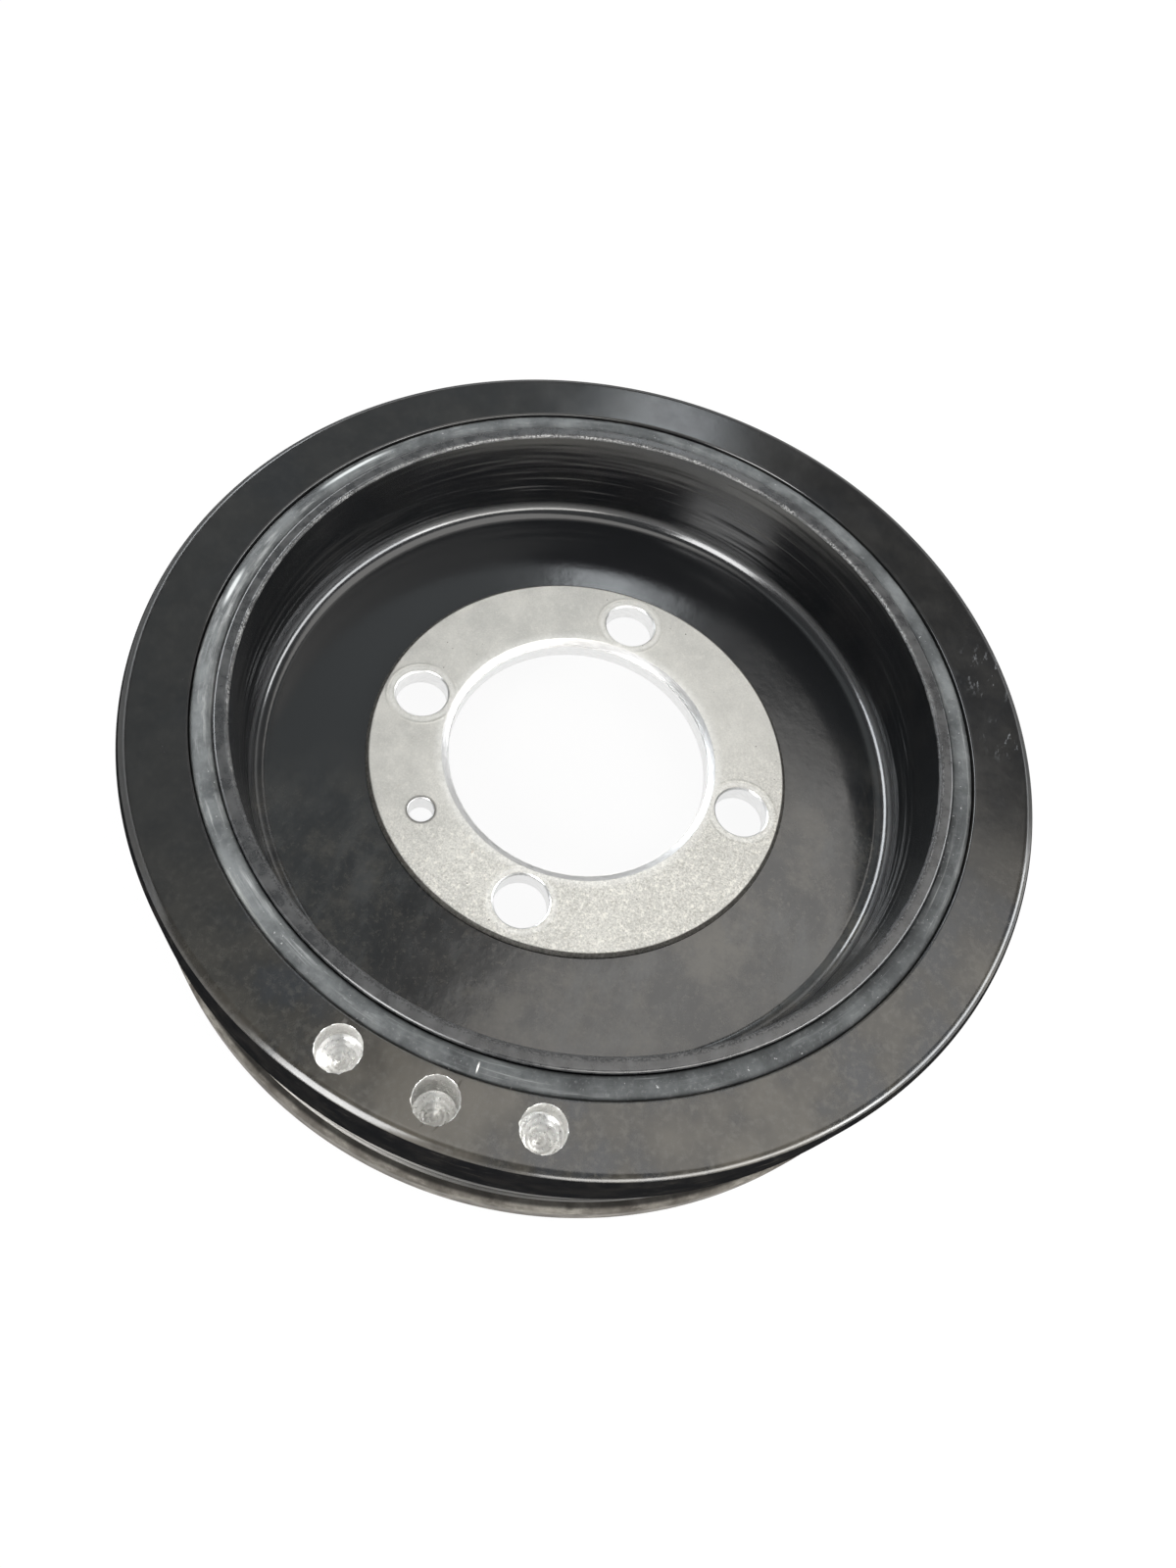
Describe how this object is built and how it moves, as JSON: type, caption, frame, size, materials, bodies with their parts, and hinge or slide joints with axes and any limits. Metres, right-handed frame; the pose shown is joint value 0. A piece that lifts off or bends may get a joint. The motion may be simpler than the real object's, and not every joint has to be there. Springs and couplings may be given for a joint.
{
  "type": "crankshaft pulley",
  "caption": "Crankshaft pulley with a torsional damper: grooved rim on a rubber ring round a drawn hub cup, which bolts to the crankshaft's nose.",
  "frame": {"origin": "centre of the bore at the hub's rear seat, which bolts against the crankshaft", "axes": "+Z along the crankshaft's axis towards the open front of the cup, +X through the first bolt hole"},
  "size_m": [0.138, 0.138, 0.0306],
  "materials": {
    "black_iron": "satin black coating",
    "black_steel": "satin black coating",
    "bare_steel": "fine matt",
    "rubber": "dusty matt"
  },
  "bodies": {
    "root": {"grooved_rim": "black_iron", "hub_cup": "black_steel", "mounting_plate": "bare_steel", "rubber_ring": "rubber"}
  },
  "joints": []
}
